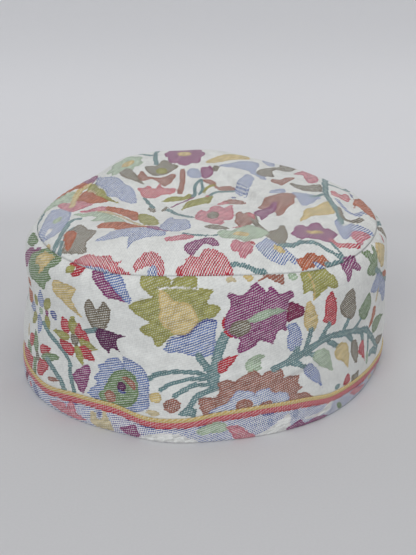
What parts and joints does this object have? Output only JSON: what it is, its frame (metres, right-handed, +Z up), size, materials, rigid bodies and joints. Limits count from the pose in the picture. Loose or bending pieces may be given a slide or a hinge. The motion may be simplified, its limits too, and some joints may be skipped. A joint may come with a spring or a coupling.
{
  "type": "kashmiri kani cap",
  "caption": "Soft round cap with an upright side, a low domed crown and a bordered rim, all in flower-patterned shawl cloth, empty and standing on its rim.",
  "frame": {"origin": "middle of the cap's plan, on the surface that the rim stands on", "axes": "+Z up from the rim to the crown, -Y toward the front that the picture shows"},
  "size_m": [0.1905, 0.1905, 0.0985],
  "materials": {
    "shawl_cloth": "matte ivory twill with woven flowers and leaves in muted wool colours",
    "border_cloth": "matte blue woven border with pink, green and cream shapes under a red and a yellow stripe"
  },
  "bodies": {
    "root": {"crown_panel": "shawl_cloth", "side_wall": "shawl_cloth", "border_band": "border_cloth"}
  },
  "joints": []
}
